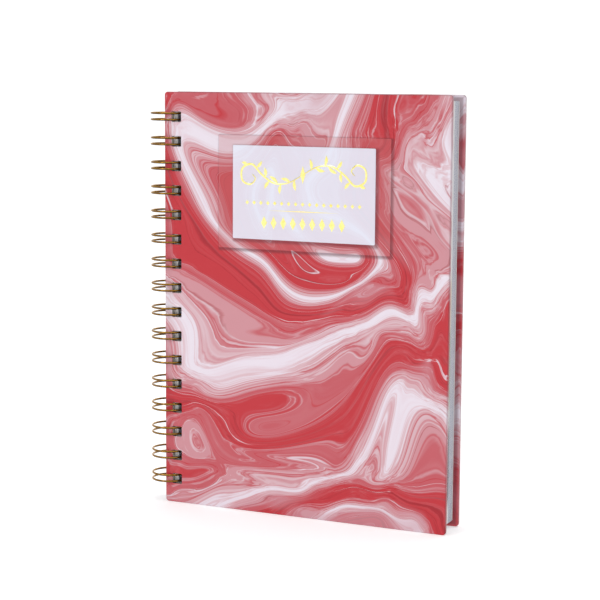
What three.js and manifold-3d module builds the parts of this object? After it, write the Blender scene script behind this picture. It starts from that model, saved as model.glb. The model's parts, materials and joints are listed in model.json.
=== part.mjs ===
// A hardcover desk planner in twin-loop wire binding, standing upright with its front cover slightly open.
// Millimetres, +Z up along the spine, covers facing -Y (front) and +Y (back), fore-edge towards +X.
// Everything turns about one upright axis, the centre line of the wire loops, so the sheets are
// drawn about that axis first and the whole planner is moved to its base centre at the end.
import * as THREE from "three";
import { mergeVertices } from "three/addons/utils/BufferGeometryUtils.js";
import Module from "manifold-3d";

// Covers
const COVER_WIDTH = 158.5; // spine edge to fore-edge
const COVER_HEIGHT = 216;
const COVER_CORNER = 1.6; // outline radius
const CORNER_STEPS = 3; // flats in each rounded corner
const CLOSED_THICKNESS = 14; // outer face to outer face, shut
const BOARD = 1.8; // greyboard thickness
const SHEET = 0.25; // wrap paper and endpaper thickness
const GLUE_GAP = 0.05; // between pasted layers
const TURN_IN = 13; // wrap folded onto the inner face
const ENDPAPER_MARGIN = 3; // wrap left showing round the endpaper
const AJAR_DEG = 2.7; // how far the front cover stands open

// Pages
const PAGE_WIDTH = 155.3;
const PAGE_HEIGHT = 210;
const LEAF = 0.25; // the title leaf is heavier than the rest
const SECTION_GAP = 0.06; // air between neighbouring sections
const MONTHS = 12;
const MONTHS_IN_FRONT = 6; // sections that turn with the front half
const NOTES_SHARE = 1.5; // notes section thickness, in months

// Twin-loop wire
const LOOPS = 16;
const PITCH = 12.7; // two holes to the inch
const WIRE_DIAMETER = 1.05;
const RING_OUTER_DIAMETER = 20;
const AXIS_TO_SPINE = 1; // loop centre line to the sheets' spine edges
const STRAND_SPACING = 3.3;
const TIP_SPACING = 2.8; // the strands close in at the hairpin's end
const BASE_ANGLE_DEG = 94; // where each hairpin starts, behind the back cover
const TIP_ANGLE_DEG = 442; // where it ends, just short of its own start
const STRAND_STEPS = 12;
const CHORD_ALLOWANCE = 1.008; // bends lie just outside the true circle, so the chords average on it
const BEND_STEPS = 4;
const BASE_BEND_RADIUS = 1.3;
const WIRE_SIDES = 6;

// Punched holes, measured from the spine edge
const HOLE_INSET = 4.2;
const HOLE_WIDTH = 5.6;
const HOLE_HEIGHT = 5.4;

// Title label on the front cover, measured from the spine edge and the cover's foot
const PANEL = { left: 31.9, bottom: 137, width: 95.4, height: 57.6, corner: 0.8, thickness: 0.15 };
const CARD = { left: 40.2, bottom: 142.1, width: 79, height: 47.5, corner: 0.6, thickness: 0.2 };
const FOIL_THICKNESS = 0.12;

// The foil ornament: half of a scroll from its own centre, and leaves on it (x, z, heading, length)
const ORNAMENT = { x: CARD.left + CARD.width / 2, z: 175.5 };
const SCROLL = [
  [0, 0], [8, 4.2], [16, 4.6], [23, 0.4], [28.5, -4.6],
  [34, -2.4], [34, 3.6], [29.6, 5.6], [26.6, 2.8], [28.4, 0.4],
];
const SCROLL_WIDTH = 1.1;
const SCROLL_THIN = 0.35; // share of that width left near the ends
const SCROLL_STEPS = 4;
const LEAVES = [
  [4.5, 2.6, 75, 5.5], [7, 3.9, -40, 5.5], [12, 4.9, 60, 5.2], [14, 4.8, -60, 6],
  [18.5, 3.6, 35, 5], [21, 1.8, -105, 5], [26, -3, -150, 4.6], [31, -4.2, -35, 3.6],
];
const LEAF_WIDTH = 1.7;
const LEAF_STEPS = 4;
const LEAF_CURL_DEG = 4; // turn for each millimetre of leaf
const LOZENGE_ROWS = [
  { foot: 159.6, pitch: 3.9, count: 17, width: 2, height: 2.2 },
  { foot: 147.6, pitch: 5.4, count: 9, width: 3.4, height: 6.4 },
];
const RULE = { length: 40, z: 157, width: 0.5 };
const HAIR_LINE = 0.3; // ties the strokes together as one stamped piece

const COVER_THICKNESS = BOARD + 3 * SHEET + 3 * GLUE_GAP;
const HALF_CLOSED = CLOSED_THICKNESS / 2;
const RING_RADIUS = (RING_OUTER_DIAMETER - WIRE_DIAMETER) / 2;
const FIRST_HOLE_Z = (COVER_HEIGHT - PITCH * (LOOPS - 1)) / 2;
const PAGE_FOOT = (COVER_HEIGHT - PAGE_HEIGHT) / 2;

const wasm = await Module();
wasm.setup();

function toSolid(geometry) {
  const bare = geometry.clone();
  bare.deleteAttribute("normal");
  bare.deleteAttribute("uv");
  const merged = mergeVertices(bare, 1e-4);
  return new wasm.Manifold(
    new wasm.Mesh({
      numProp: 3,
      vertProperties: merged.attributes.position.array,
      triVerts: new Uint32Array(merged.index.array),
    }),
  );
}

function toGeometry(solid) {
  const mesh = solid.getMesh();
  const geometry = new THREE.BufferGeometry();
  geometry.setAttribute("position", new THREE.BufferAttribute(mesh.vertProperties, 3));
  geometry.setIndex(new THREE.BufferAttribute(mesh.triVerts, 1));
  const flat = geometry.toNonIndexed();
  flat.computeVertexNormals();
  return flat;
}

// A rounded rectangle in the sheet's own plane: x from the spine edge, y up from the foot.
function roundedOutline({ left, bottom, width, height, corner }) {
  const right = left + width;
  const top = bottom + height;
  const outline = new THREE.Shape();
  outline.moveTo(left + corner, bottom);
  outline.lineTo(right - corner, bottom);
  outline.absarc(right - corner, bottom + corner, corner, -Math.PI / 2, 0);
  outline.lineTo(right, top - corner);
  outline.absarc(right - corner, top - corner, corner, 0, Math.PI / 2);
  outline.lineTo(left + corner, top);
  outline.absarc(left + corner, top - corner, corner, Math.PI / 2, Math.PI);
  outline.lineTo(left, bottom + corner);
  outline.absarc(left + corner, bottom + corner, corner, Math.PI, 1.5 * Math.PI);
  return outline;
}

function squareOutline(PathClass, left, bottom, width, height) {
  const path = new PathClass();
  path.moveTo(left, bottom);
  path.lineTo(left + width, bottom);
  path.lineTo(left + width, bottom + height);
  path.lineTo(left, bottom + height);
  return path;
}

function punchHoles(outline) {
  for (let loop = 0; loop < LOOPS; loop += 1) {
    const bottom = FIRST_HOLE_Z + PITCH * loop - HOLE_HEIGHT / 2;
    outline.holes.push(squareOutline(THREE.Path, HOLE_INSET, bottom, HOLE_WIDTH, HOLE_HEIGHT));
  }
  return outline;
}

// Stands a flat outline up as a plate from front to back (both measured along +Y from the loop axis).
function standingPlate(outline, front, back) {
  const plate = new THREE.ExtrudeGeometry(outline, {
    depth: back - front,
    bevelEnabled: false,
    curveSegments: CORNER_STEPS,
  });
  plate.rotateX(Math.PI / 2);
  return plate.translate(AXIS_TO_SPINE, back, 0);
}

function named(name, geometry, colour, roughness, metalness = 0) {
  const material = new THREE.MeshStandardMaterial({ color: colour, roughness, metalness });
  const mesh = new THREE.Mesh(geometry, material);
  mesh.name = name;
  return mesh;
}

const coverRectangle = (inset) => ({
  left: inset,
  bottom: inset,
  width: COVER_WIDTH - 2 * inset,
  height: COVER_HEIGHT - 2 * inset,
  corner: Math.max(COVER_CORNER - inset, 0.6),
});

const pageOutline = () =>
  punchHoles(squareOutline(THREE.Shape, 0, PAGE_FOOT, PAGE_WIDTH, PAGE_HEIGHT));

// The printed wrap: an outer sheet folded round all four edges of the board and onto its inner face.
// side is -1 for the front cover and +1 for the back cover.
function wrapGeometry(side) {
  const outerFace = side * HALF_CLOSED;
  const innerFace = side * (HALF_CLOSED - (BOARD + 2 * SHEET + 2 * GLUE_GAP));
  const slab = (rectangle, a, b, holes) =>
    toSolid(
      standingPlate(
        holes ? punchHoles(roundedOutline(rectangle)) : roundedOutline(rectangle),
        Math.min(a, b),
        Math.max(a, b),
      ),
    );
  const cavity = slab(
    coverRectangle(SHEET),
    outerFace - side * SHEET,
    innerFace + side * SHEET,
    false,
  );
  const window = slab(coverRectangle(TURN_IN), outerFace - side * BOARD, innerFace - side, false);
  return toGeometry(
    slab(coverRectangle(0), outerFace, innerFace, true).subtract(cavity).subtract(window),
  );
}

function boardGeometry(side) {
  const near = side * (HALF_CLOSED - SHEET - GLUE_GAP);
  const far = near - side * BOARD;
  const outline = punchHoles(roundedOutline(coverRectangle(SHEET + GLUE_GAP)));
  return standingPlate(outline, Math.min(near, far), Math.max(near, far));
}

function endpaperGeometry(side) {
  const inner = side * (HALF_CLOSED - COVER_THICKNESS);
  const outer = inner + side * SHEET;
  const outline = punchHoles(roundedOutline(coverRectangle(ENDPAPER_MARGIN)));
  return standingPlate(outline, Math.min(inner, outer), Math.max(inner, outer));
}

function coverPieces(prefix, side) {
  return [
    named(`${prefix}_cover_wrap`, wrapGeometry(side), 0xc95a68, 0.42),
    named(`${prefix}_cover_board`, boardGeometry(side), 0x9c958c, 0.9),
    named(`${prefix}_endpaper`, endpaperGeometry(side), 0xf1eff0, 0.8),
  ];
}

// Widths along a stroke that swells to its middle and closes to a point at both ends.
const swelling = (count, width, thin) =>
  Array.from({ length: count }, (_, i) =>
    i === 0 || i === count - 1
      ? 0
      : width * (thin + (1 - thin) * Math.sin((Math.PI * i) / (count - 1))),
  );

function lozenge(x, foot, width, height) {
  return { points: [[x, foot], [x, foot + height / 2], [x, foot + height]], widths: [0, width, 0] };
}

// A curled leaf that grows from a point on the scroll. way is -1 on the scroll's other half.
function leafStroke(way, [x, z, headingDeg, length]) {
  const points = [];
  for (let i = 0; i <= LEAF_STEPS; i += 1) {
    const reach = (length * i) / LEAF_STEPS;
    const angle = THREE.MathUtils.degToRad(headingDeg + LEAF_CURL_DEG * reach);
    points.push([
      ORNAMENT.x + way * (x + reach * Math.cos(angle)),
      ORNAMENT.z + way * (z + reach * Math.sin(angle)),
    ]);
  }
  return { points, widths: swelling(points.length, LEAF_WIDTH, 0) };
}

const level = (z, length, width) => ({
  points: [-0.5, 0, 0.5].map((share) => [ORNAMENT.x + length * share, z]),
  widths: [0, width, 0],
});

// Every stroke of the ornament: a leafy scroll, a lozenge at its centre, a rule and two lozenge rows.
function foilStrokes() {
  const strokes = [
    lozenge(ORNAMENT.x, ORNAMENT.z - 4.5, 2.8, 9),
    level(RULE.z, RULE.length, RULE.width),
  ];
  for (const way of [1, -1]) {
    const knots = SCROLL.map(
      ([x, z]) => new THREE.Vector2(ORNAMENT.x + way * x, ORNAMENT.z + way * z),
    );
    const stem = new THREE.SplineCurve(knots).getPoints((SCROLL.length - 1) * SCROLL_STEPS);
    const points = stem.map(({ x, y }) => [x, y]);
    strokes.push({ points, widths: swelling(points.length, SCROLL_WIDTH, SCROLL_THIN) });
    for (const leaf of LEAVES) strokes.push(leafStroke(way, leaf));
  }
  for (const { foot, pitch, count, width, height } of LOZENGE_ROWS) {
    const span = pitch * (count - 1);
    for (let i = 0; i < count; i += 1) {
      strokes.push(lozenge(ORNAMENT.x - span / 2 + pitch * i, foot, width, height));
    }
  }
  return strokes;
}

// Hair lines along each lozenge row and down the middle.
function foilTies() {
  const rows = LOZENGE_ROWS.map(({ foot, pitch, count, height }) => ({
    left: ORNAMENT.x - (pitch * (count - 1)) / 2,
    bottom: foot + height / 2 - HAIR_LINE / 2,
    width: pitch * (count - 1),
    height: HAIR_LINE,
  }));
  const lowest = Math.min(...rows.map(({ bottom }) => bottom));
  const spine = {
    left: ORNAMENT.x - HAIR_LINE / 2,
    bottom: lowest,
    width: HAIR_LINE,
    height: ORNAMENT.z - lowest,
  };
  return [...rows, spine].map(({ left, bottom, width, height }) =>
    squareOutline(THREE.Shape, left, bottom, width, height),
  );
}

function strokeOutline({ points, widths }) {
  const edge = (i, side) => {
    const before = points[Math.max(i - 1, 0)];
    const after = points[Math.min(i + 1, points.length - 1)];
    const along = new THREE.Vector2(after[0] - before[0], after[1] - before[1]).normalize();
    const reach = (side * widths[i]) / 2;
    return new THREE.Vector2(points[i][0] - along.y * reach, points[i][1] + along.x * reach);
  };
  const lefts = points.map((_, i) => edge(i, 1));
  const rights = points.map((_, i) => edge(i, -1)).slice(1, -1);
  return new THREE.Shape([...lefts, ...rights.reverse()]);
}

function foilGeometry(front, back) {
  const outlines = [...foilStrokes().map(strokeOutline), ...foilTies()];
  const solids = outlines.map((outline) => toSolid(standingPlate(outline, front, back)));
  return toGeometry(solids.reduce((whole, piece) => whole.add(piece)));
}

function labelPieces() {
  const panelFront = -HALF_CLOSED - GLUE_GAP - PANEL.thickness;
  const cardFront = panelFront - GLUE_GAP - CARD.thickness;
  const foilFront = cardFront - GLUE_GAP - FOIL_THICKNESS;
  const plate = (spec, front) =>
    standingPlate(roundedOutline(spec), front, front + spec.thickness);
  return [
    named("title_panel", plate(PANEL, panelFront), 0xb98389, 0.4),
    named("title_card", plate(CARD, cardFront), 0xe8e4f5, 0.45),
    named("title_foil", foilGeometry(foilFront, foilFront + FOIL_THICKNESS), 0xe8d37a, 0.3, 1),
  ];
}

// Page sections fill the space between the endpapers, front to back.
function pageSections() {
  const space = CLOSED_THICKNESS - 2 * COVER_THICKNESS;
  const sections = MONTHS + 2;
  const paper = space - LEAF - SECTION_GAP * (sections + 1);
  const month = paper / (MONTHS + NOTES_SHARE);
  const pieces = [];
  let front = -space / 2 + SECTION_GAP;
  const add = (name, thickness) => {
    const sheet = standingPlate(pageOutline(), front, front + thickness);
    pieces.push(named(name, sheet, 0xf4f2ee, 0.85));
    front += thickness + SECTION_GAP;
  };
  add("title_leaf", LEAF);
  for (let i = 1; i <= MONTHS; i += 1) add(`month_${String(i).padStart(2, "0")}_pages`, month);
  add("notes_pages", month * NOTES_SHARE);
  return pieces;
}

// A path whose sections fall exactly on its own points, close in the bends and wide on the arcs.
class BentWire extends THREE.Curve {
  constructor(points) {
    super();
    this.points = points;
  }

  getUtoTmapping(u) {
    return u;
  }

  getPoint(t) {
    const place = THREE.MathUtils.clamp(t, 0, 1) * (this.points.length - 1);
    const index = Math.min(Math.floor(place), this.points.length - 2);
    return this.points[index].clone().lerp(this.points[index + 1], place - index);
  }
}

// One continuous wire: up each hairpin's first strand, round its tip, back down its second strand,
// and along a straight link to the next hairpin.
function wirePoints() {
  const points = [];
  const radius = RING_RADIUS * CHORD_ALLOWANCE;
  const put = (angleDeg, z) => {
    const angle = THREE.MathUtils.degToRad(angleDeg);
    points.push(new THREE.Vector3(radius * Math.cos(angle), radius * Math.sin(angle), z));
  };
  const arcPerDegree = THREE.MathUtils.degToRad(1) * radius;
  const strandOffset = (share) =>
    THREE.MathUtils.lerp(STRAND_SPACING, TIP_SPACING, THREE.MathUtils.smoothstep(share, 0.7, 1)) / 2;
  const tipReach = TIP_SPACING / 2 / arcPerDegree;
  const baseReach = BASE_BEND_RADIUS / arcPerDegree;
  const strandStart = BASE_ANGLE_DEG + baseReach;
  const strandEnd = TIP_ANGLE_DEG - tipReach;
  for (let loop = 0; loop < LOOPS; loop += 1) {
    const z = FIRST_HOLE_Z + PITCH * loop;
    const strandAngle = (share) => THREE.MathUtils.lerp(strandStart, strandEnd, share);
    const baseBend = (sign, share) => {
      const turn = (share * Math.PI) / 2;
      const height = BASE_BEND_RADIUS * (1 - Math.sin(turn));
      put(
        strandStart - baseReach * Math.cos(turn),
        z + sign * (STRAND_SPACING / 2 + height),
      );
    };
    if (loop > 0) for (let i = 0; i < BEND_STEPS - 1; i += 1) baseBend(-1, i / (BEND_STEPS - 1));
    for (let i = 0; i <= STRAND_STEPS; i += 1) {
      const share = i / STRAND_STEPS;
      put(strandAngle(share), z - strandOffset(share));
    }
    for (let i = 1; i < BEND_STEPS; i += 1) {
      const turn = (i / BEND_STEPS) * Math.PI;
      put(strandEnd + tipReach * Math.sin(turn), z - (TIP_SPACING / 2) * Math.cos(turn));
    }
    for (let i = STRAND_STEPS; i >= 0; i -= 1) {
      const share = i / STRAND_STEPS;
      put(strandAngle(share), z + strandOffset(share));
    }
    if (loop < LOOPS - 1) {
      for (let i = BEND_STEPS - 2; i >= 0; i -= 1) baseBend(1, i / (BEND_STEPS - 1));
    }
  }
  return points;
}

function wireGeometry() {
  const points = wirePoints();
  const section = new THREE.Shape();
  for (let i = 0; i < WIRE_SIDES; i += 1) {
    const angle = (i / WIRE_SIDES) * Math.PI * 2;
    const x = (WIRE_DIAMETER / 2) * Math.cos(angle);
    const y = (WIRE_DIAMETER / 2) * Math.sin(angle);
    if (i === 0) section.moveTo(x, y);
    else section.lineTo(x, y);
  }
  return new THREE.ExtrudeGeometry(section, {
    steps: points.length - 1,
    extrudePath: new BentWire(points),
    bevelEnabled: false,
  });
}

const backCover = new THREE.Group();
backCover.add(...coverPieces("back", 1));
backCover.add(named("twin_loop_wire", wireGeometry(), 0xc9a24b, 0.25, 1));

const [titleLeaf, ...sections] = pageSections();
const frontPages = new THREE.Group();
frontPages.add(titleLeaf, ...sections.slice(0, MONTHS_IN_FRONT));
const rearPages = new THREE.Group();
rearPages.add(...sections.slice(MONTHS_IN_FRONT));

const frontCover = new THREE.Group();
frontCover.add(...coverPieces("front", -1), ...labelPieces());
frontCover.rotation.z = -THREE.MathUtils.degToRad(AJAR_DEG);

const planner = new THREE.Group();
planner.add(backCover, rearPages, frontPages, frontCover);
planner.updateMatrixWorld(true);
const centre = new THREE.Box3().setFromObject(planner, true).getCenter(new THREE.Vector3());
planner.position.set(-centre.x, -centre.y, 0);

export default planner;
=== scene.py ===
"""A twin-loop bound hardcover planner with marbled covers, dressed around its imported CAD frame.

Millimetres are used for every size below and turned into metres where a vertex is made.
Flat sheets are described in their own plane: x from the spine edge, z up from the cover's foot,
depth from the closed planner's outer face inwards. place() stands them up in the frame.
"""

import json
import math
import random

import bmesh
import bpy
from mathutils import Matrix, Vector


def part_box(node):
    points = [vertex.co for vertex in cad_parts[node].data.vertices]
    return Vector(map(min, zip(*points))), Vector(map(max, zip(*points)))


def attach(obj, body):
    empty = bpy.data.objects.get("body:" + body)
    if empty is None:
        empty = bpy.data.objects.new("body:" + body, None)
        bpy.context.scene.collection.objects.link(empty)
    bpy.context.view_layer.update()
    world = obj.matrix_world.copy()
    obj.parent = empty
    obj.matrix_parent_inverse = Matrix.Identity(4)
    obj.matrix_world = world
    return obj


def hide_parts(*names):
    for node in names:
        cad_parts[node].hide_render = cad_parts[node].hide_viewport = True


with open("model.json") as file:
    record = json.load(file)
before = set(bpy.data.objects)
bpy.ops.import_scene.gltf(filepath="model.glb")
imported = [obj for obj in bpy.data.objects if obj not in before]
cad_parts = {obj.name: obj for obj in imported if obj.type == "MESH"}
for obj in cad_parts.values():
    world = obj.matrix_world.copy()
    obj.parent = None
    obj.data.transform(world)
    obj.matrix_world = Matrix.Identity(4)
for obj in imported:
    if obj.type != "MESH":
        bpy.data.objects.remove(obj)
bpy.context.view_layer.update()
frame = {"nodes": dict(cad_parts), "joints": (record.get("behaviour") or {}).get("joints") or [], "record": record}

MM = 0.001

# Covers and pages, as the CAD has them
COVER_WIDTH = 158.5
COVER_HEIGHT = 216.0
COVER_CORNER = 1.6
HALF_CLOSED = 7.0
AJAR_DEG = -frame["joints"][2]["range_deg"][0]
BOARD = 1.8
SHEET = 0.25
GLUE_GAP = 0.05
TURN_IN = 13.0
WRAP_DEPTH = BOARD + 2 * SHEET + 2 * GLUE_GAP
PAGE_WIDTH = 155.3
PAGE_HEIGHT = 210.0
PAGE_FOOT = (COVER_HEIGHT - PAGE_HEIGHT) / 2

# Twin-loop wire, and the punched holes that it runs through
LOOPS = 16
PITCH = 12.7
WIRE_RADIUS = 0.525
RING_RADIUS = 9.44
AXIS_TO_SPINE = 1.0
STRAND_SPACING = 3.3
TIP_SPACING = 2.8
BASE_ANGLE_DEG = 94.0
TIP_ANGLE_DEG = 442.0
BASE_BEND_RADIUS = 1.3
NARROWING_FROM = 0.7  # share of a strand after which the hairpin narrows to its tip
STRAND_STEPS, BEND_STEPS = 40, 6
FIRST_HOLE_Z = (COVER_HEIGHT - PITCH * (LOOPS - 1)) / 2
HOLE_HEIGHT = 5.4
COVER_HOLE = (4.2, 5.6)  # left edge and width; the leaves' holes are narrower on the spine side
LEAF_HOLE = (5.9, 3.9)

# Title label: left, foot, width, height, corner, thickness
PANEL = (31.9, 137.0, 95.4, 57.6, 0.8, 0.15)
CARD = (40.2, 142.1, 79.0, 47.5, 0.6, 0.2)
PANEL_FRONT = -GLUE_GAP - PANEL[5]
CARD_FRONT = PANEL_FRONT - GLUE_GAP - CARD[5]
FOIL_THICKNESS = 0.12
FOIL_FRONT = CARD_FRONT - GLUE_GAP - FOIL_THICKNESS

AXIS = Vector(frame["joints"][0]["pos_m"])
AXIS.z = 0.0
PRINT = "print"


def srgb(red, green, blue):
    """A display colour, 0 to 255, as the linear colour that a shader takes."""
    def linear(value):
        value /= 255
        return value / 12.92 if value <= 0.04045 else ((value + 0.055) / 1.055) ** 2.4

    return (linear(red), linear(green), linear(blue), 1.0)


# ---------------------------------------------------------------- arithmetic on shader nodes

class Field:
    """A number that varies over a surface: a node's socket with plain arithmetic."""

    def __init__(self, tree, socket):
        self.tree = tree
        self.socket = socket

    def math(self, operation, *others, clamp=False):
        node = self.tree.nodes.new("ShaderNodeMath")
        node.operation = operation
        node.use_clamp = clamp
        for slot, value in zip(node.inputs, (self, *others)):
            feed(self.tree, slot, value)
        return Field(self.tree, node.outputs[0])

    def __add__(self, other):
        return self.math("ADD", other)

    def __sub__(self, other):
        return self.math("SUBTRACT", other)

    def __mul__(self, other):
        return self.math("MULTIPLY", other)

    def __truediv__(self, other):
        return self.math("DIVIDE", other)

    def span(self, low, high):
        """0 below low, 1 above high, and smooth between."""
        node = self.tree.nodes.new("ShaderNodeMapRange")
        node.interpolation_type = "SMOOTHSTEP"
        feed(self.tree, node.inputs["Value"], self)
        node.inputs["From Min"].default_value = low
        node.inputs["From Max"].default_value = high
        return Field(self.tree, node.outputs["Result"])


def feed(tree, slot, value):
    if isinstance(value, Field):
        tree.links.new(value.socket, slot)
    else:
        slot.default_value = value


def vector(tree, x, y, z=0.0):
    node = tree.nodes.new("ShaderNodeCombineXYZ")
    for slot, value in zip(node.inputs, (x, y, z)):
        feed(tree, slot, value)
    return node.outputs[0]


def parts(tree, socket):
    node = tree.nodes.new("ShaderNodeSeparateXYZ")
    tree.links.new(socket, node.inputs[0])
    return [Field(tree, output) for output in node.outputs]


def noise(tree, place_socket, size, detail=2.0, roughness=0.5, seed=0.0):
    """Two independent noises, each about -0.5 to 0.5, with features about size across."""
    node = tree.nodes.new("ShaderNodeTexNoise")
    node.noise_dimensions = "4D"
    node.inputs["W"].default_value = seed * size
    node.inputs["Scale"].default_value = 1.0 / size
    node.inputs["Detail"].default_value = detail
    node.inputs["Roughness"].default_value = roughness
    tree.links.new(place_socket, node.inputs["Vector"])
    split = parts(tree, node.outputs["Color"])
    return split[0] - 0.5, split[1] - 0.5


def ramp(tree, value, stops, interpolation="LINEAR"):
    node = tree.nodes.new("ShaderNodeValToRGB")
    node.color_ramp.interpolation = interpolation
    elements = node.color_ramp.elements
    while len(elements) < len(stops):
        elements.new(0.5)
    for element, (position, colour) in zip(elements, stops):
        element.position = position
        element.color = colour
    feed(tree, node.inputs["Fac"], value)
    return Field(tree, node.outputs["Color"])


def mix(tree, share, below, above, blend="MIX"):
    node = tree.nodes.new("ShaderNodeMix")
    node.data_type = "RGBA"
    node.blend_type = blend
    feed(tree, node.inputs[0], share)
    feed(tree, node.inputs[6], below)
    feed(tree, node.inputs[7], above)
    return Field(tree, node.outputs[2])


def new_material(name, **settings):
    """A material with one Principled shader: its tree and that shader."""
    material = bpy.data.materials.new(name)
    material.use_nodes = True
    shader = material.node_tree.nodes["Principled BSDF"]
    for socket, value in settings.items():
        shader.inputs[socket.replace("_", " ")].default_value = value
    return material, material.node_tree, shader


def bump(tree, shader, height, depth_mm, strength=1.0):
    node = tree.nodes.new("ShaderNodeBump")
    node.inputs["Strength"].default_value = strength
    node.inputs["Distance"].default_value = depth_mm * MM
    feed(tree, node.inputs["Height"], height)
    tree.links.new(node.outputs["Normal"], shader.inputs["Normal"])


def print_place(tree):
    """Where a point of a folded sheet lies on the flat sheet, x and z in millimetres."""
    node = tree.nodes.new("ShaderNodeUVMap")
    node.uv_map = PRINT
    x, z, _ = parts(tree, node.outputs["UV"])
    return x * (1 / MM), z * (1 / MM)


def object_place(tree):
    """A point's place in the frame, x, y and z in millimetres."""
    node = tree.nodes.new("ShaderNodeTexCoord")
    return [value * (1 / MM) for value in parts(tree, node.outputs["Object"])]


# ---------------------------------------------------------------- marbling

DARK_VEIN = srgb(166, 30, 42)
DEEP_RED = srgb(192, 44, 54)
ROSE = srgb(194, 86, 95)
PINK = srgb(205, 143, 151)
BLUSH = srgb(218, 187, 195)
LILAC_WHITE = srgb(231, 221, 231)
MAUVE_VEIL = srgb(203, 158, 168)
SHADOW_RED = srgb(96, 40, 48)

# Colours met while crossing one band of floated ink, from its dark heart to its pale rim
INK_BAND = [
    (0.00, DARK_VEIN),
    (0.05, DEEP_RED),
    (0.20, DEEP_RED),
    (0.215, DARK_VEIN),
    (0.23, DEEP_RED),
    (0.33, DEEP_RED),
    (0.36, ROSE),
    (0.37, PINK),
    (0.385, ROSE),
    (0.45, ROSE),
    (0.46, DEEP_RED),
    (0.475, ROSE),
    (0.52, ROSE),
    (0.54, PINK),
    (0.56, ROSE),
    (0.60, PINK),
    (0.66, PINK),
    (0.675, BLUSH),
    (0.69, PINK),
    (0.72, ROSE),
    (0.73, PINK),
    (0.79, BLUSH),
    (0.82, PINK),
    (0.86, BLUSH),
    (0.88, LILAC_WHITE),
    (0.90, BLUSH),
    (0.94, LILAC_WHITE),
    (1.00, LILAC_WHITE),
]

# The currents that fold the ink, slow to quick: how wide each is and how far it carries, in mm
CURRENTS = ((110.0, 100.0), (52.0, 90.0), (24.0, 34.0))
# Two slow eddies: centre x and z, width and height
UPPER_EDDY = (78.0, 168.0, 55.0, 80.0)
LOWER_EDDY = (118.0, -30.0, 60.0, 75.0)
EDDY_CORE = 0.18
BANDS_PER_EDDY = 2.2
# Noise along and across the ink: feature size in mm, and how far it moves the ink's level or tone
BROAD_NOISE = (40.0, 0.5)
FINE_NOISE = (7.0, 0.06)
STREAK_NOISE = (14.0, 0.55)
# How strongly each layer over the ink shows
VEIL_SHARE = 0.55
WISP_SHARE = 0.3
PALE_LINE_SHARE = 0.75
DARK_LINE_SHARE = 0.55
KEEP_POSITIVE = 10.0  # added to a level before it is folded, so that it never goes below 0


def eddy_reach(x, z, eddy):
    centre_x, centre_z, wide, tall = eddy
    across = (x - centre_x) / wide
    up = (z - centre_z) / tall
    return (across * across + up * up).math("SQRT") + EDDY_CORE


def hair_lines(level, spacing, phase, width):
    """1 on thin lines that follow the ink, fading to 0 beside them."""
    folded = (level + (phase + KEEP_POSITIVE)).math("PINGPONG", spacing)
    return folded.span(0.0, width) * -1.0 + 1.0


def drift(tree, x, z, seed):
    """The place that the ink at x, z has been carried from."""
    for step, (size, reach) in enumerate(CURRENTS):
        push_x, push_z = noise(tree, vector(tree, x, z), size, 0.0, seed=seed + step)
        x = x + push_x * reach
        z = z + push_z * reach
    return x, z


def ink_level(tree, x, z, seed):
    """Which band of ink a place is in, as a number that grows from one eddy to the other."""
    ratio = eddy_reach(x, z, UPPER_EDDY) / eddy_reach(x, z, LOWER_EDDY)
    broad, _ = noise(tree, vector(tree, x, z), BROAD_NOISE[0], 2.0, seed=seed + 7)
    fine, _ = noise(tree, vector(tree, x, z), FINE_NOISE[0], 3.0, 0.6, seed=seed + 9)
    bands = ratio.math("LOGARITHM", math.e) * BANDS_PER_EDDY
    return bands + broad * BROAD_NOISE[1] + fine * FINE_NOISE[1]


def marbling(tree, x, z, seed):
    """Bands of ink drawn round two slow eddies, folded by currents and combed along their length."""
    x, z = drift(tree, x, z, seed)
    level = ink_level(tree, x, z, seed)
    combed_place = vector(tree, level * 100.0, (x + z) * 0.25)
    streak, _ = noise(tree, combed_place, STREAK_NOISE[0], 3.0, 0.6, seed=seed + 11)
    tone = (level + KEEP_POSITIVE).math("PINGPONG", 1.0) + streak * STREAK_NOISE[1]
    veil, _ = noise(tree, vector(tree, x, z), 55.0, 1.0, seed=seed + 13)
    colour = ramp(tree, tone, INK_BAND)
    colour = mix(tree, veil.span(0.03, 0.16) * VEIL_SHARE, colour, MAUVE_VEIL)
    wisp_place = vector(tree, level * 60.0, (x + z) * 0.4)
    wisp, _ = noise(tree, wisp_place, 5.0, 4.0, 0.6, seed=seed + 15)
    colour = mix(tree, wisp.span(-0.05, 0.28) * WISP_SHARE, colour, PINK)
    combed = level + streak * 0.3
    pale_part, dark_part = noise(tree, vector(tree, x, z), 34.0, 1.0, seed=seed + 17)
    pale = hair_lines(combed, 0.23, 0.0, 0.014) * pale_part.span(-0.02, 0.08)
    dark = hair_lines(combed, 0.19, 0.07, 0.012) * dark_part.span(-0.02, 0.08)
    colour = mix(tree, pale * PALE_LINE_SHARE, colour, LILAC_WHITE)
    return mix(tree, dark * DARK_LINE_SHARE, colour, DARK_VEIN)


# The label's printed shadows: how far right and down each lies, and how far it fades, in mm
PANEL_SHADOW, PANEL_SHADOW_SHARE = (0.7, 1.6), 0.6
CARD_SHADOW, CARD_SHADOW_SHARE = (0.8, 1.8), 0.55


def box_shade(x, z, spec, shift, soft):
    """1 inside a rectangle moved by shift (right, down), fading to 0 over soft outside it."""
    left, foot, width, height = spec[:4]
    middle_x = left + width / 2 + shift
    middle_z = foot + height / 2 - shift
    over_x = ((x - middle_x).math("ABSOLUTE") - width / 2).math("MAXIMUM", 0.0)
    over_z = ((z - middle_z).math("ABSOLUTE") - height / 2).math("MAXIMUM", 0.0)
    away = (over_x * over_x + over_z * over_z).math("SQRT")
    return away.span(0.0, soft) * -1.0 + 1.0


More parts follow.
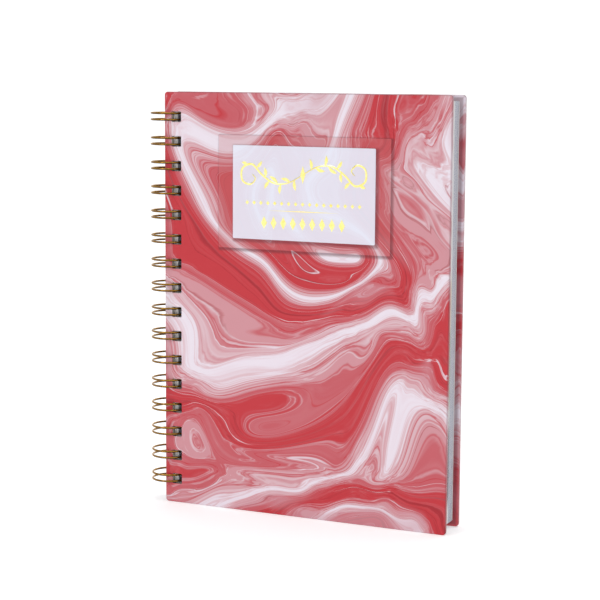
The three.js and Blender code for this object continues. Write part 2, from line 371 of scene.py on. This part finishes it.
def painted_edge_shade(x, z):
    """Painted shade along the board's edges and the side that the wrap folds over: 1 there, 0 on its faces."""
    past_x = (x - COVER_WIDTH / 2).math("ABSOLUTE") - COVER_WIDTH / 2
    past_z = (z - COVER_HEIGHT / 2).math("ABSOLUTE") - COVER_HEIGHT / 2
    past = past_x.math("MAXIMUM", past_z)
    return past.span(-0.6, 0.1) * (past.span(WRAP_DEPTH * 0.6, WRAP_DEPTH) * -1.0 + 1.0)


def marbled_material(name, seed, label_shadow=False):
    """Marbled paper under a gloss laminate, with the label's soft printed shadow if asked, and painted shade along
    its edges.
    """
    material, tree, shader = new_material(
        name, Roughness=0.38, Specular_IOR_Level=0.28, Coat_Weight=0.15, Coat_Roughness=0.2
    )
    x, z = print_place(tree)
    colour = marbling(tree, x, z, seed)
    if label_shadow:
        shade = box_shade(x, z, PANEL, *PANEL_SHADOW) * PANEL_SHADOW_SHARE
        colour = mix(tree, shade, colour, SHADOW_RED)
    # painted shade: the cover's edges and folded sides darkened towards SHADOW_RED
    colour = mix(tree, painted_edge_shade(x, z) * 0.45, colour, SHADOW_RED)
    tree.links.new(colour.socket, shader.inputs["Base Color"])
    peel, _ = noise(tree, vector(tree, x, z), 1.4, 3.0, seed=seed)
    bump(tree, shader, peel, 0.012)
    return material


# ---------------------------------------------------------------- flat sheets and how they stand

class Side:
    """The front or back half: its body, its direction along Y and the angle that it stands open."""

    def __init__(self, body, sign, open_deg):
        self.body = body
        self.sign = sign
        self.turn = Matrix.Rotation(-math.radians(open_deg), 3, "Z")

    def place(self, x, z, depth):
        flat = Vector((AXIS_TO_SPINE + x, self.sign * (HALF_CLOSED - depth), z)) * MM
        return AXIS + self.turn @ flat


FRONT = Side("front_cover", -1, AJAR_DEG)
BACK = Side("back_cover", 1, 0.0)


def rounded(left, foot, width, height, corner, steps=5):
    """A rounded rectangle's points, anticlockwise from the foot's right corner."""
    right, top = left + width, foot + height
    centres = (
        (right - corner, foot + corner, -90),
        (right - corner, top - corner, 0),
        (left + corner, top - corner, 90),
        (left + corner, foot + corner, 180),
    )
    points = []
    for centre_x, centre_z, start in centres:
        for i in range(steps + 1):
            angle = math.radians(start + 90 * i / steps)
            points.append(
                (centre_x + corner * math.cos(angle), centre_z + corner * math.sin(angle))
            )
    return points


def square(left, foot, width, height):
    return [(left, foot), (left + width, foot), (left + width, foot + height), (left, foot + height)]


def cover_outline(inset, corner):
    return rounded(inset, inset, COVER_WIDTH - 2 * inset, COVER_HEIGHT - 2 * inset, corner)


def hole_outlines(left, width):
    return [
        rounded(left, FIRST_HOLE_Z + PITCH * i - HOLE_HEIGHT / 2, width, HOLE_HEIGHT, 0.5, 2)
        for i in range(LOOPS)
    ]


class Builder:
    """A mesh under construction, made of closed loops of points that lie on folded sheets."""

    def __init__(self, side):
        self.mesh = bmesh.new()
        self.side = side
        self.flat = self.mesh.verts.layers.float_vector.new("flat")

    def loop(self, points, depth, unfold=0.0):
        """A closed loop of vertices. unfold is how far past the outline the flat sheet reaches."""
        verts = []
        for x, z in points:
            vert = self.mesh.verts.new(self.side.place(x, z, depth))
            out_x = math.copysign(unfold, x - COVER_WIDTH / 2)
            out_z = math.copysign(unfold, z - COVER_HEIGHT / 2)
            vert[self.flat] = (x + out_x, z + out_z, 0.0)
            verts.append(vert)
        return verts

    def bridge(self, first, second, material=0):
        for i, vert in enumerate(first):
            j = (i + 1) % len(first)
            face = self.mesh.faces.new((vert, first[j], second[j], second[i]))
            face.material_index = material

    def fill(self, loops, material=0):
        """One flat face inside the first loop and outside the others."""
        edges = []
        for verts in loops:
            for i, vert in enumerate(verts):
                other = verts[(i + 1) % len(verts)]
                edges.append(self.mesh.edges.get((vert, other)) or self.mesh.edges.new((vert, other)))
        made = bmesh.ops.triangle_fill(self.mesh, edges=edges, use_beauty=True)
        for face in made["geom"]:
            if isinstance(face, bmesh.types.BMFace):
                face.material_index = material

    def finish(self, name, materials, smooth_deg=40.0):
        bmesh.ops.recalc_face_normals(self.mesh, faces=self.mesh.faces)
        uv = self.mesh.loops.layers.uv.new(PRINT)
        for face in self.mesh.faces:
            for corner in face.loops:
                x, z, _ = corner.vert[self.flat]
                corner[uv].uv = (x * MM, z * MM)
        mesh = bpy.data.meshes.new(name)
        self.mesh.to_mesh(mesh)
        self.mesh.free()
        for material in materials:
            mesh.materials.append(material)
        mesh.shade_smooth()
        mesh.set_sharp_from_angle(angle=math.radians(smooth_deg))
        piece = bpy.data.objects.new(name, mesh)
        bpy.context.scene.collection.objects.link(piece)
        return piece


def add_plate(builder, outline, holes, front, back, faces=0, edges=0):
    """A flat plate with square edges, from depth front to depth back."""
    front_loops = [builder.loop(points, front) for points in (outline, *holes)]
    back_loops = [builder.loop(points, back) for points in (outline, *holes)]
    builder.fill(front_loops, faces)
    builder.fill(back_loops, faces)
    for first, second in zip(front_loops, back_loops):
        builder.bridge(first, second, edges)


# ---------------------------------------------------------------- cover wraps

EDGE_RADIUS = 0.55
EDGE_STEPS = 4


def wrap_profile():
    """(inset from the outline, depth, flat sheet beyond the outline) from the outer face inwards."""
    quarter = [math.radians(90 * i / EDGE_STEPS) for i in range(EDGE_STEPS + 1)]
    outer = [
        (EDGE_RADIUS * (1 - math.sin(a)), EDGE_RADIUS * (1 - math.cos(a)), EDGE_RADIUS * (a - 1))
        for a in quarter
    ]
    side_length = WRAP_DEPTH - 2 * EDGE_RADIUS
    inner = [
        (
            EDGE_RADIUS * (1 - math.cos(a)),
            WRAP_DEPTH - EDGE_RADIUS * (1 - math.sin(a)),
            outer[-1][2] + side_length + EDGE_RADIUS * a,
        )
        for a in quarter
    ]
    return outer + inner


def build_wrap(prefix, side, material):
    builder = Builder(side)
    rings = []
    for inset, depth, beyond in wrap_profile():
        outline = cover_outline(inset, COVER_CORNER - inset)
        rings.append(builder.loop(outline, depth, beyond + inset))
    for first, second in zip(rings, rings[1:]):
        builder.bridge(first, second)
    holes = hole_outlines(*COVER_HOLE)
    builder.fill([rings[0], *(builder.loop(points, 0.0) for points in holes)])
    reach = 2 * WRAP_DEPTH
    window = builder.loop(cover_outline(TURN_IN, 0.6), WRAP_DEPTH, reach)
    inner_holes = [builder.loop(points, WRAP_DEPTH, reach) for points in holes]
    builder.fill([rings[-1], window, *inner_holes])
    piece = builder.finish(f"{prefix}_wrap", [material])
    shell = piece.modifiers.new("paper", "SOLIDIFY")
    shell.thickness = SHEET * MM
    shell.offset = -1
    flatten = piece.modifiers.new("flat faces", "WEIGHTED_NORMAL")
    flatten.keep_sharp = True
    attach(piece, side.body)
    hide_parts(f"{prefix}_cover_wrap")


# ---------------------------------------------------------------- boards and endpapers

def greyboard_material():
    material, tree, shader = new_material("greyboard", Roughness=0.92)
    x, y, z = object_place(tree)
    fleck, speck = noise(tree, vector(tree, x, y * 3, z), 0.7, 4.0, 0.7)
    colour = ramp(tree, fleck + 0.5, [(0.3, srgb(150, 146, 138)), (0.7, srgb(202, 198, 188))])
    tree.links.new(colour.socket, shader.inputs["Base Color"])
    bump(tree, shader, speck, 0.05)
    return material


def endpaper_material():
    material, tree, shader = new_material("endpaper", Roughness=0.78)
    x, y, z = object_place(tree)
    cloud, fibre = noise(tree, vector(tree, x, y, z), 2.2, 5.0, 0.65)
    colour = ramp(tree, cloud + 0.5, [(0.3, srgb(236, 233, 231)), (0.7, srgb(246, 244, 242))])
    tree.links.new(colour.socket, shader.inputs["Base Color"])
    bump(tree, shader, fibre, 0.02)
    return material


def dress(node, material):
    for item in frame["nodes"][node].material_slots:
        item.material = material


# ---------------------------------------------------------------- pages

PRINT_GREY = srgb(176, 172, 176)
PRINT_ROSE = srgb(214, 150, 160)
# What is printed on a page, in sheet millimetres: low and high ends, then line pitch, width and start
PRINT_ACROSS = (18.0, 148.0)
PRINT_UP = (14.0, 186.0)
HEADING_UP = (192.0, 201.0)
GRID_ACROSS = (18.5, 0.35, -18.25)
GRID_UP = (28.6, 0.35, -14.25)
RULED_LINES = (7.1, 0.3, -14.0)
LEAVES_PER_MONTH = 5
LEAVES_OF_NOTES = 8
LEAF_GAP = 0.03
CUT_PLAY = 0.05  # how unevenly the leaves are cut
BANDED_SECTIONS = ("month_01_pages", "month_02_pages", "month_03_pages")


def paper_base(tree):
    x, y, z = object_place(tree)
    cloud, fibre = noise(tree, vector(tree, x, y * 8, z), 1.6, 5.0, 0.65)
    colour = ramp(tree, cloud + 0.5, [(0.3, srgb(238, 236, 232)), (0.7, srgb(249, 247, 244))])
    return x, y, z, colour, fibre


def line_mask(value, spacing, width, start):
    """1 on thin lines that repeat every spacing, 0 between them."""
    away = (value + (start + 1000 * spacing)).math("PINGPONG", spacing / 2)
    return away.math("LESS_THAN", width / 2)


def inside(value, low, high):
    return value.math("GREATER_THAN", low) * value.math("LESS_THAN", high)


def printed_paper(name, grid):
    """Writing paper: a month's grid of boxes, or ruled lines, under a tinted heading bar."""
    material, tree, shader = new_material(name, Roughness=0.86)
    _, _, _, colour, fibre = paper_base(tree)
    x, z = print_place(tree)
    across = inside(x, *PRINT_ACROSS)
    body_mask = across * inside(z, *PRINT_UP)
    if grid:
        lines = line_mask(x, *GRID_ACROSS).math("MAXIMUM", line_mask(z, *GRID_UP))
    else:
        lines = line_mask(z, *RULED_LINES)
    heading = across * inside(z, *HEADING_UP)
    colour = mix(tree, lines * body_mask, colour, PRINT_GREY)
    colour = mix(tree, heading * 0.75, colour, PRINT_ROSE)
    tree.links.new(colour.socket, shader.inputs["Base Color"])
    bump(tree, shader, fibre, 0.02)
    return material


def shaded_cut_paper(tree, x, y, z):
    """Cut leaves' edges in a bluish grey, darker than their faces: painted shade over the white of cut paper."""
    grain, _ = noise(tree, vector(tree, x, y * 12, z * 0.3), 1.1, 3.0, 0.6)
    return ramp(tree, grain + 0.5, [(0.3, srgb(140, 145, 168)), (0.7, srgb(186, 191, 208))])


def page_edge_material():
    material, tree, shader = new_material("page_edge", Roughness=0.9)
    # painted shade: every cut edge and hole wall is a darkened bluish grey
    colour = shaded_cut_paper(tree, *object_place(tree))
    tree.links.new(colour.socket, shader.inputs["Base Color"])
    return material


def title_bands(tree, z, soft):
    """Soft bands of colour down the fore-edge: navy, greys, sage and beige over white."""
    return ramp(tree, (z + soft * 6.0) / COVER_HEIGHT, [
        (0.05, srgb(226, 227, 232)),
        (0.075, srgb(44, 50, 84)),
        (0.20, srgb(44, 50, 84)),
        (0.22, srgb(92, 94, 104)),
        (0.27, srgb(206, 208, 210)),
        (0.31, srgb(146, 160, 150)),
        (0.46, srgb(146, 160, 150)),
        (0.48, srgb(208, 194, 178)),
        (0.57, srgb(208, 194, 178)),
        (0.60, srgb(226, 227, 232)),
    ])


def title_leaf_material():
    """Paper whose printed bands fade into white towards the spine."""
    material, tree, shader = new_material("title_leaf", Roughness=0.7)
    _, _, _, colour, fibre = paper_base(tree)
    x, z = print_place(tree)
    soft, _ = noise(tree, vector(tree, x, z), 14.0, 2.0)
    colour = mix(tree, x.span(96.0, 124.0), colour, title_bands(tree, z, soft))
    tree.links.new(colour.socket, shader.inputs["Base Color"])
    bump(tree, shader, fibre, 0.02)
    return material


def banded_edge_material():
    """Cut edges of the first leaves, stained by the title leaf's bands along the fore-edge, with painted shade on
    the other cut edges.
    """
    material, tree, shader = new_material("banded_edge", Roughness=0.85)
    x, y, z = object_place(tree)
    soft, _ = noise(tree, vector(tree, x, y * 8, z), 6.0, 3.0)
    outer = (x - AXIS.x / MM).span(PAGE_WIDTH - 2.0, PAGE_WIDTH)
    colour = mix(tree, outer, shaded_cut_paper(tree, x, y, z), title_bands(tree, z, soft))
    tree.links.new(colour.socket, shader.inputs["Base Color"])
    return material


def build_section(node, body, leaves, front_face, other_faces, edge, seed):
    """A section's leaves, side by side in the space of its CAD block."""
    low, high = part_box(node)
    room = (high.y - low.y) / MM
    start = HALF_CLOSED + (low.y - AXIS.y) / MM
    thickness = (room - LEAF_GAP * (leaves - 1)) / leaves
    draw = random.Random(seed)
    builder = Builder(Side(body, -1, 0.0))
    holes = hole_outlines(*LEAF_HOLE)
    for i in range(leaves):
        front = start + i * (thickness + LEAF_GAP)
        trim = draw.uniform(0.0, CUT_PLAY)
        lift = draw.uniform(0.0, CUT_PLAY)
        outline = square(0, PAGE_FOOT + lift, PAGE_WIDTH - trim, PAGE_HEIGHT - 2 * lift)
        add_plate(builder, outline, holes, front, front + thickness, 0 if i == 0 else 1, 2)
    name = node.replace("_pages", "_leaves").replace("title_leaf", "title_sheet")
    piece = builder.finish(name, [front_face, other_faces, edge])
    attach(piece, body)
    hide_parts(node)


def build_pages():
    grid = printed_paper("month_grid", True)
    ruled = printed_paper("ruled_page", False)
    edge = page_edge_material()
    title = title_leaf_material()
    banded = banded_edge_material()
    bodies = frame["record"]["behaviour"]["bodies"]
    for body in ("front_pages", "rear_pages"):
        for number, node in enumerate(bodies[body]):
            seed = number + (100 if body == "rear_pages" else 0)
            if node == "title_leaf":
                build_section(node, body, 1, title, title, banded, seed)
            elif node in BANDED_SECTIONS:
                build_section(node, body, LEAVES_PER_MONTH, grid, ruled, banded, seed)
            elif node == "notes_pages":
                build_section(node, body, LEAVES_OF_NOTES, ruled, ruled, edge, seed)
            else:
                build_section(node, body, LEAVES_PER_MONTH, grid, ruled, edge, seed)


# ---------------------------------------------------------------- twin-loop wire

# Painted shade for the wire's undersides, standing in for a dark reflection
UNDERSIDE_SHADE = srgb(58, 34, 14)


def half_spacing(share):
    """Half the distance between a hairpin's strands, share of the way from its base to its tip."""
    eased = min(max((share - NARROWING_FROM) / (1 - NARROWING_FROM), 0.0), 1.0)
    eased = eased * eased * (3 - 2 * eased)
    return (STRAND_SPACING + (TIP_SPACING - STRAND_SPACING) * eased) / 2


def hairpin(z, first, last):
    """One loop round the ring as (degrees, z) pairs, with its base bends except at the wire's ends."""
    arc_per_degree = math.radians(1) * RING_RADIUS
    tip_reach = TIP_SPACING / 2 / arc_per_degree
    base_reach = BASE_BEND_RADIUS / arc_per_degree
    start = BASE_ANGLE_DEG + base_reach
    end = TIP_ANGLE_DEG - tip_reach

    def base_bend(sign, step):
        turn = step / BEND_STEPS * math.pi / 2
        height = BASE_BEND_RADIUS * (1 - math.sin(turn))
        return start - base_reach * math.cos(turn), z + sign * (STRAND_SPACING / 2 + height)

    def strand(sign, step):
        share = step / STRAND_STEPS
        return start + (end - start) * share, z + sign * half_spacing(share)

    def tip(step):
        turn = math.pi * step / (2 * BEND_STEPS)
        return end + tip_reach * math.sin(turn), z - TIP_SPACING / 2 * math.cos(turn)

    lead_in = [] if first else [base_bend(-1, i) for i in range(BEND_STEPS)]
    lead_out = [] if last else [base_bend(1, i) for i in reversed(range(BEND_STEPS))]
    up = [strand(-1, i) for i in range(STRAND_STEPS + 1)]
    down = [strand(1, i) for i in reversed(range(STRAND_STEPS + 1))]
    return lead_in + up + [tip(i) for i in range(1, 2 * BEND_STEPS)] + down + lead_out


def wire_path():
    """The wire's centre line: up each hairpin's first strand, round its tip, down its second."""
    points = []
    for loop in range(LOOPS):
        middle = FIRST_HOLE_Z + PITCH * loop
        for degrees, z in hairpin(middle, loop == 0, loop == LOOPS - 1):
            angle = math.radians(degrees)
            ring = Vector((math.cos(angle), math.sin(angle), 0)) * RING_RADIUS
            points.append(AXIS + (ring + Vector((0, 0, z))) * MM)
    return points


def gold_wire_material():
    """Gold plating over bronze, with painted shade on the undersides: darker where the tube faces down."""
    material, tree, shader = new_material("gold_wire", Metallic=1.0)
    x, y, z = object_place(tree)
    scuff, tint = noise(tree, vector(tree, x, y, z), 0.9, 3.0, 0.6)
    colour = ramp(tree, tint + 0.5, [(0.3, srgb(150, 104, 40)), (0.7, srgb(206, 160, 74))])
    # painted shade: the gold turns dark where the tube faces down
    normal = tree.nodes.new("ShaderNodeTexCoord").outputs["Normal"]
    facing_up = parts(tree, normal)[2] + scuff * 0.5
    colour = mix(tree, facing_up.span(-0.55, 0.45), UNDERSIDE_SHADE, colour)
    tree.links.new(colour.socket, shader.inputs["Base Color"])
    roughness = scuff.span(-0.4, 0.4) * 0.12 + 0.13
    tree.links.new(roughness.socket, shader.inputs["Roughness"])
    bump(tree, shader, scuff, 0.01)
    return material


def build_wire(material):
    curve = bpy.data.curves.new("binding_wire", "CURVE")
    curve.dimensions = "3D"
    curve.bevel_depth = WIRE_RADIUS * MM
    curve.bevel_resolution = 5
    curve.use_fill_caps = True
    points = wire_path()
    spline = curve.splines.new("POLY")
    spline.points.add(len(points) - 1)
    for point, place in zip(spline.points, points):
        point.co = (*place, 1.0)
    spline.use_smooth = True
    curve.materials.append(material)
    piece = bpy.data.objects.new("binding_wire", curve)
    bpy.context.scene.collection.objects.link(piece)
    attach(piece, "back_cover")
    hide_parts("twin_loop_wire")


# ---------------------------------------------------------------- title label

def panel_material(seed):
    """A tinted panel: the cover's marbling seen through a dusty rose wash."""
    material, tree, shader = new_material("title_panel", Roughness=0.38, Specular_IOR_Level=0.28)
    x, z = print_place(tree)
    colour = marbling(tree, x, z, seed)
    colour = mix(tree, 0.38, colour, srgb(190, 108, 112))
    shade = box_shade(x, z, CARD, *CARD_SHADOW) * CARD_SHADOW_SHARE
    colour = mix(tree, shade, colour, SHADOW_RED)
    tree.links.new(colour.socket, shader.inputs["Base Color"])
    grain, _ = noise(tree, vector(tree, x, z), 1.2, 3.0)
    bump(tree, shader, grain, 0.01)
    return material


def card_material(seed):
    """A lilac-white card with a trace of marbling in it."""
    material, tree, shader = new_material("title_card", Roughness=0.42, Specular_IOR_Level=0.3)
    x, z = print_place(tree)
    colour = marbling(tree, x, z, seed)
    colour = mix(tree, 0.88, colour, srgb(227, 229, 242))
    tree.links.new(colour.socket, shader.inputs["Base Color"])
    grain, _ = noise(tree, vector(tree, x, z), 1.0, 4.0)
    bump(tree, shader, grain, 0.008)
    return material


def build_label_plate(name, node, spec, front, material):
    builder = Builder(FRONT)
    left, foot, width, height, corner, thickness = spec
    ease = thickness * 0.35
    back = builder.loop(rounded(left, foot, width, height, corner), front + thickness)
    brim = builder.loop(rounded(left, foot, width, height, corner), front + ease)
    inner = rounded(left + ease, foot + ease, width - 2 * ease, height - 2 * ease, corner - ease)
    face = builder.loop(inner, front)
    builder.fill([back])
    builder.bridge(back, brim)
    builder.bridge(brim, face)
    builder.fill([face])
    piece = builder.finish(name, [material], 30.0)
    flatten = piece.modifiers.new("flat faces", "WEIGHTED_NORMAL")
    flatten.keep_sharp = True
    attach(piece, "front_cover")
    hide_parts(node)


# The foil ornament, from its own centre: half of a scroll, and leaves on it (x, z, heading, length)
ORNAMENT = (CARD[0] + CARD[2] / 2, 175.5)
SCROLL = [
    (0, 0), (8, 4.2), (16, 4.6), (23, 0.4), (28.5, -4.6),
    (34, -2.4), (34, 3.6), (29.6, 5.6), (26.6, 2.8), (28.4, 0.4),
]
SCROLL_WIDTH, SCROLL_THIN = 1.1, 0.35
LEAVES = [
    (4.5, 2.6, 75, 5.5), (7, 3.9, -40, 5.5), (12, 4.9, 60, 5.2), (14, 4.8, -60, 6.0),
    (18.5, 3.6, 35, 5.0), (21, 1.8, -105, 5.0), (26, -3.0, -150, 4.6), (31, -4.2, -35, 3.6),
]
LEAF_WIDTH = 1.7
LEAF_STEPS = 8
LEAF_CURL_DEG = 4
CENTRE_LOZENGE = (2.8, 9.0)  # width and height
# Rows of lozenges: foot z, pitch, count, width, height
LOZENGE_ROWS = ((159.6, 3.9, 17, 2.0, 2.2), (147.6, 5.4, 9, 3.4, 6.4))
RULE_LENGTH, RULE_Z, RULE_WIDTH = 40.0, 157.0, 0.5


def smooth_line(points, steps=8):
    """Points on a Catmull-Rom curve through the given ones."""
    ends = [points[0], *points, points[-1]]
    made = []
    for a, b, c, d in zip(ends, ends[1:], ends[2:], ends[3:]):
        for i in range(steps):
            t = i / steps
            made.append(tuple(
                0.5 * (
                    2 * b[k] + (c[k] - a[k]) * t
                    + (2 * a[k] - 5 * b[k] + 4 * c[k] - d[k]) * t * t
                    + (3 * b[k] - a[k] - 3 * c[k] + d[k]) * t ** 3
                )
                for k in (0, 1)
            ))
    made.append(points[-1])
    return made


def swelling(count, width, thin=0.0):
    """Widths along a stroke that swells to its middle and closes to a point at both ends."""
    return [
        width * (thin + (1 - thin) * math.sin(math.pi * i / (count - 1)))
        if 0 < i < count - 1 else 0.0
        for i in range(count)
    ]


def leaf_line(x, z, way, heading, length):
    """A leaf's middle line from x, z. It curls as it goes, and way is -1 on the mirrored side."""
    points = []
    for i in range(LEAF_STEPS + 1):
        reach = length * i / LEAF_STEPS
        angle = math.radians(heading + LEAF_CURL_DEG * reach)
        points.append((x + way * reach * math.cos(angle), z + way * reach * math.sin(angle)))
    return points


def lozenge(x, foot, width, height):
    return [(x, foot), (x, foot + height / 2), (x, foot + height)], [0, width, 0]


def foil_strokes():
    """Every stroke of the ornament as (points, widths)."""
    strokes = []
    centre_x, centre_z = ORNAMENT
    for way in (1, -1):
        stem = [(centre_x + way * x, centre_z + way * z) for x, z in smooth_line(SCROLL)]
        strokes.append((stem, swelling(len(stem), SCROLL_WIDTH, SCROLL_THIN)))
        for x, z, heading, length in LEAVES:
            leaf = leaf_line(centre_x + way * x, centre_z + way * z, way, heading, length)
            strokes.append((leaf, swelling(len(leaf), LEAF_WIDTH)))
    width, height = CENTRE_LOZENGE
    strokes.append(lozenge(centre_x, centre_z - height / 2, width, height))
    for foot, pitch, count, width, height in LOZENGE_ROWS:
        for i in range(count):
            strokes.append(lozenge(centre_x + pitch * (i - (count - 1) / 2), foot, width, height))
    rule = [(centre_x + RULE_LENGTH * share, RULE_Z) for share in (-0.5, 0, 0.5)]
    strokes.append((rule, [0, RULE_WIDTH, 0]))
    return strokes


def add_ridge(builder, points, widths, back, front):
    """A closed stroke, flat behind and with a soft ridge along its middle."""
    lefts, rights = [], []
    for i, ((x, z), width) in enumerate(zip(points, widths)):
        before, after = points[max(i - 1, 0)], points[min(i + 1, len(points) - 1)]
        along_x, along_z = after[0] - before[0], after[1] - before[1]
        length = math.hypot(along_x, along_z)
        out_x, out_z = -along_z / length * width / 2, along_x / length * width / 2
        lefts.append((x + out_x, z + out_z))
        rights.append((x - out_x, z - out_z))
    start = builder.loop([points[0]], back)
    end = builder.loop([points[-1]], back)
    left = start + builder.loop(lefts[1:-1], back) + end
    right = start + builder.loop(rights[1:-1], back) + end
    ridge = start + builder.loop(points[1:-1], front) + end
    last = len(points) - 1
    for one, other in ((left, ridge), (ridge, right), (right, left)):
        for i in range(last):
            corners = []
            for vert in (one[i], one[i + 1], other[i + 1], other[i]):
                if vert not in corners:
                    corners.append(vert)
            if len(corners) > 2:
                builder.mesh.faces.new(corners)


def foil_material():
    material, tree, shader = new_material("gold_foil", Metallic=1.0)
    x, z = print_place(tree)
    grain, tint = noise(tree, vector(tree, x, z), 1.5, 4.0, 0.6)
    colour = ramp(tree, tint + 0.5, [(0.3, srgb(250, 232, 128)), (0.7, srgb(255, 247, 172))])
    tree.links.new(colour.socket, shader.inputs["Base Color"])
    roughness = grain.span(-0.4, 0.4) * 0.2 + 0.22
    tree.links.new(roughness.socket, shader.inputs["Roughness"])
    bump(tree, shader, grain, 0.01)
    return material


def build_foil():
    builder = Builder(FRONT)
    for points, widths in foil_strokes():
        add_ridge(builder, points, widths, FOIL_FRONT + FOIL_THICKNESS, FOIL_FRONT)
    piece = builder.finish("label_foil", [foil_material()], 30.0)
    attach(piece, "front_cover")
    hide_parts("title_foil")


# ---------------------------------------------------------------- camera, light and floor

VIEW_AZIMUTH_DEG = 25.66 - AJAR_DEG
VIEW_ELEVATION_DEG = 7.42
VIEW_ROLL_DEG = 0.36
VIEW_DISTANCE = 905.4
VIEW_TARGET = (75.0, 111.4, 7.0)  # x, z and depth on the front cover
VIEW_LENS = 106.72


def add_camera():
    azimuth, elevation = math.radians(VIEW_AZIMUTH_DEG), math.radians(VIEW_ELEVATION_DEG)
    back = Vector((
        math.sin(azimuth) * math.cos(elevation),
        -math.cos(azimuth) * math.cos(elevation),
        math.sin(elevation),
    ))
    level = Vector((math.cos(azimuth), math.sin(azimuth), 0))
    rise = back.cross(level)
    roll = math.radians(VIEW_ROLL_DEG)
    right = level * math.cos(roll) + rise * math.sin(roll)
    up = rise * math.cos(roll) - level * math.sin(roll)
    data = bpy.data.cameras.new("camera")
    data.lens = VIEW_LENS
    data.sensor_width = 36.0
    data.clip_start = 0.01
    camera = bpy.data.objects.new("camera", data)
    place = FRONT.place(*VIEW_TARGET) + back * VIEW_DISTANCE * MM
    camera.matrix_world = Matrix((
        (right.x, up.x, back.x, place.x),
        (right.y, up.y, back.y, place.y),
        (right.z, up.z, back.z, place.z),
        (0, 0, 0, 1),
    ))
    bpy.context.scene.collection.objects.link(camera)
    bpy.context.scene.camera = camera


# Square area lights: name, place and width in metres, power in watts
LIGHTS = (
    ("key", (-0.7, -1.5, 1.1), 0.6, 5),
    ("fill", (1.5, -0.8, 0.6), 0.8, 0.6),
    ("rear", (-0.5, 1.6, 1.2), 1.0, 3.3),
    ("overhead", (0.0, 0.2, 2.4), 2.2, 20),
)
LIGHT_TARGET = Vector((0, 0, 0.1))
WORLD_STRENGTH = 0.48
FLOOR_GLOW = 0.36


def add_light(name, place, size, power):
    data = bpy.data.lights.new(name, "AREA")
    data.size = size
    data.energy = power
    light = bpy.data.objects.new(name, data)
    light.location = place
    aim = LIGHT_TARGET - Vector(place)
    light.rotation_mode = "QUATERNION"
    light.rotation_quaternion = aim.to_track_quat("-Z", "Y")
    bpy.context.scene.collection.objects.link(light)


def add_lights():
    for light in LIGHTS:
        add_light(*light)
    world = bpy.data.worlds.new("studio")
    world.use_nodes = True
    background = world.node_tree.nodes["Background"]
    background.inputs["Color"].default_value = (1, 1, 1, 1)
    background.inputs["Strength"].default_value = WORLD_STRENGTH
    bpy.context.scene.world = world
    bpy.context.scene.view_settings.view_transform = "Standard"


def add_floor():
    """A pale floor that curves up far away on every side."""
    flat_radius, curve_radius, steps, around = 1.9, 0.9, 12, 96
    profile = [(0.5, 0.0), (flat_radius, 0.0)]
    for i in range(1, steps + 1):
        angle = math.radians(80 * i / steps)
        profile.append(
            (flat_radius + curve_radius * math.sin(angle), curve_radius * (1 - math.cos(angle)))
        )
    mesh = bmesh.new()
    rings = []
    for radius, height in profile:
        ring = []
        for i in range(around):
            angle = math.radians(360 * i / around)
            ring.append(mesh.verts.new((radius * math.cos(angle), radius * math.sin(angle), height)))
        rings.append(ring)
    mesh.faces.new(rings[0])
    for first, second in zip(rings, rings[1:]):
        for i in range(around):
            j = (i + 1) % around
            mesh.faces.new((first[i], second[i], second[j], first[j]))
    data = bpy.data.meshes.new("floor")
    mesh.to_mesh(data)
    mesh.free()
    data.shade_smooth()
    material, tree, shader = new_material("floor", Roughness=0.9, Emission_Strength=FLOOR_GLOW)
    x, y, _ = object_place(tree)
    tone, _ = noise(tree, vector(tree, x, y), 400.0, 2.0)
    colour = ramp(tree, tone + 0.5, [(0.3, srgb(246, 246, 247)), (0.7, srgb(250, 250, 250))])
    tree.links.new(colour.socket, shader.inputs["Base Color"])
    data.materials.append(material)
    floor = bpy.data.objects.new("floor", data)
    bpy.context.scene.collection.objects.link(floor)


# ---------------------------------------------------------------- the whole planner

FRONT_SEED = 92.5
BACK_SEED = 51.8

add_camera()
add_lights()
add_floor()
build_wrap("front", FRONT, marbled_material("front_marbling", FRONT_SEED, True))
build_wrap("back", BACK, marbled_material("back_marbling", BACK_SEED))
greyboard = greyboard_material()
endpaper = endpaper_material()
for prefix in ("front", "back"):
    dress(f"{prefix}_cover_board", greyboard)
    dress(f"{prefix}_endpaper", endpaper)
build_pages()
build_wire(gold_wire_material())
build_label_plate(
    "label_panel", "title_panel", PANEL, PANEL_FRONT, panel_material(FRONT_SEED)
)
build_label_plate(
    "label_card", "title_card", CARD, CARD_FRONT, card_material(FRONT_SEED)
)
build_foil()
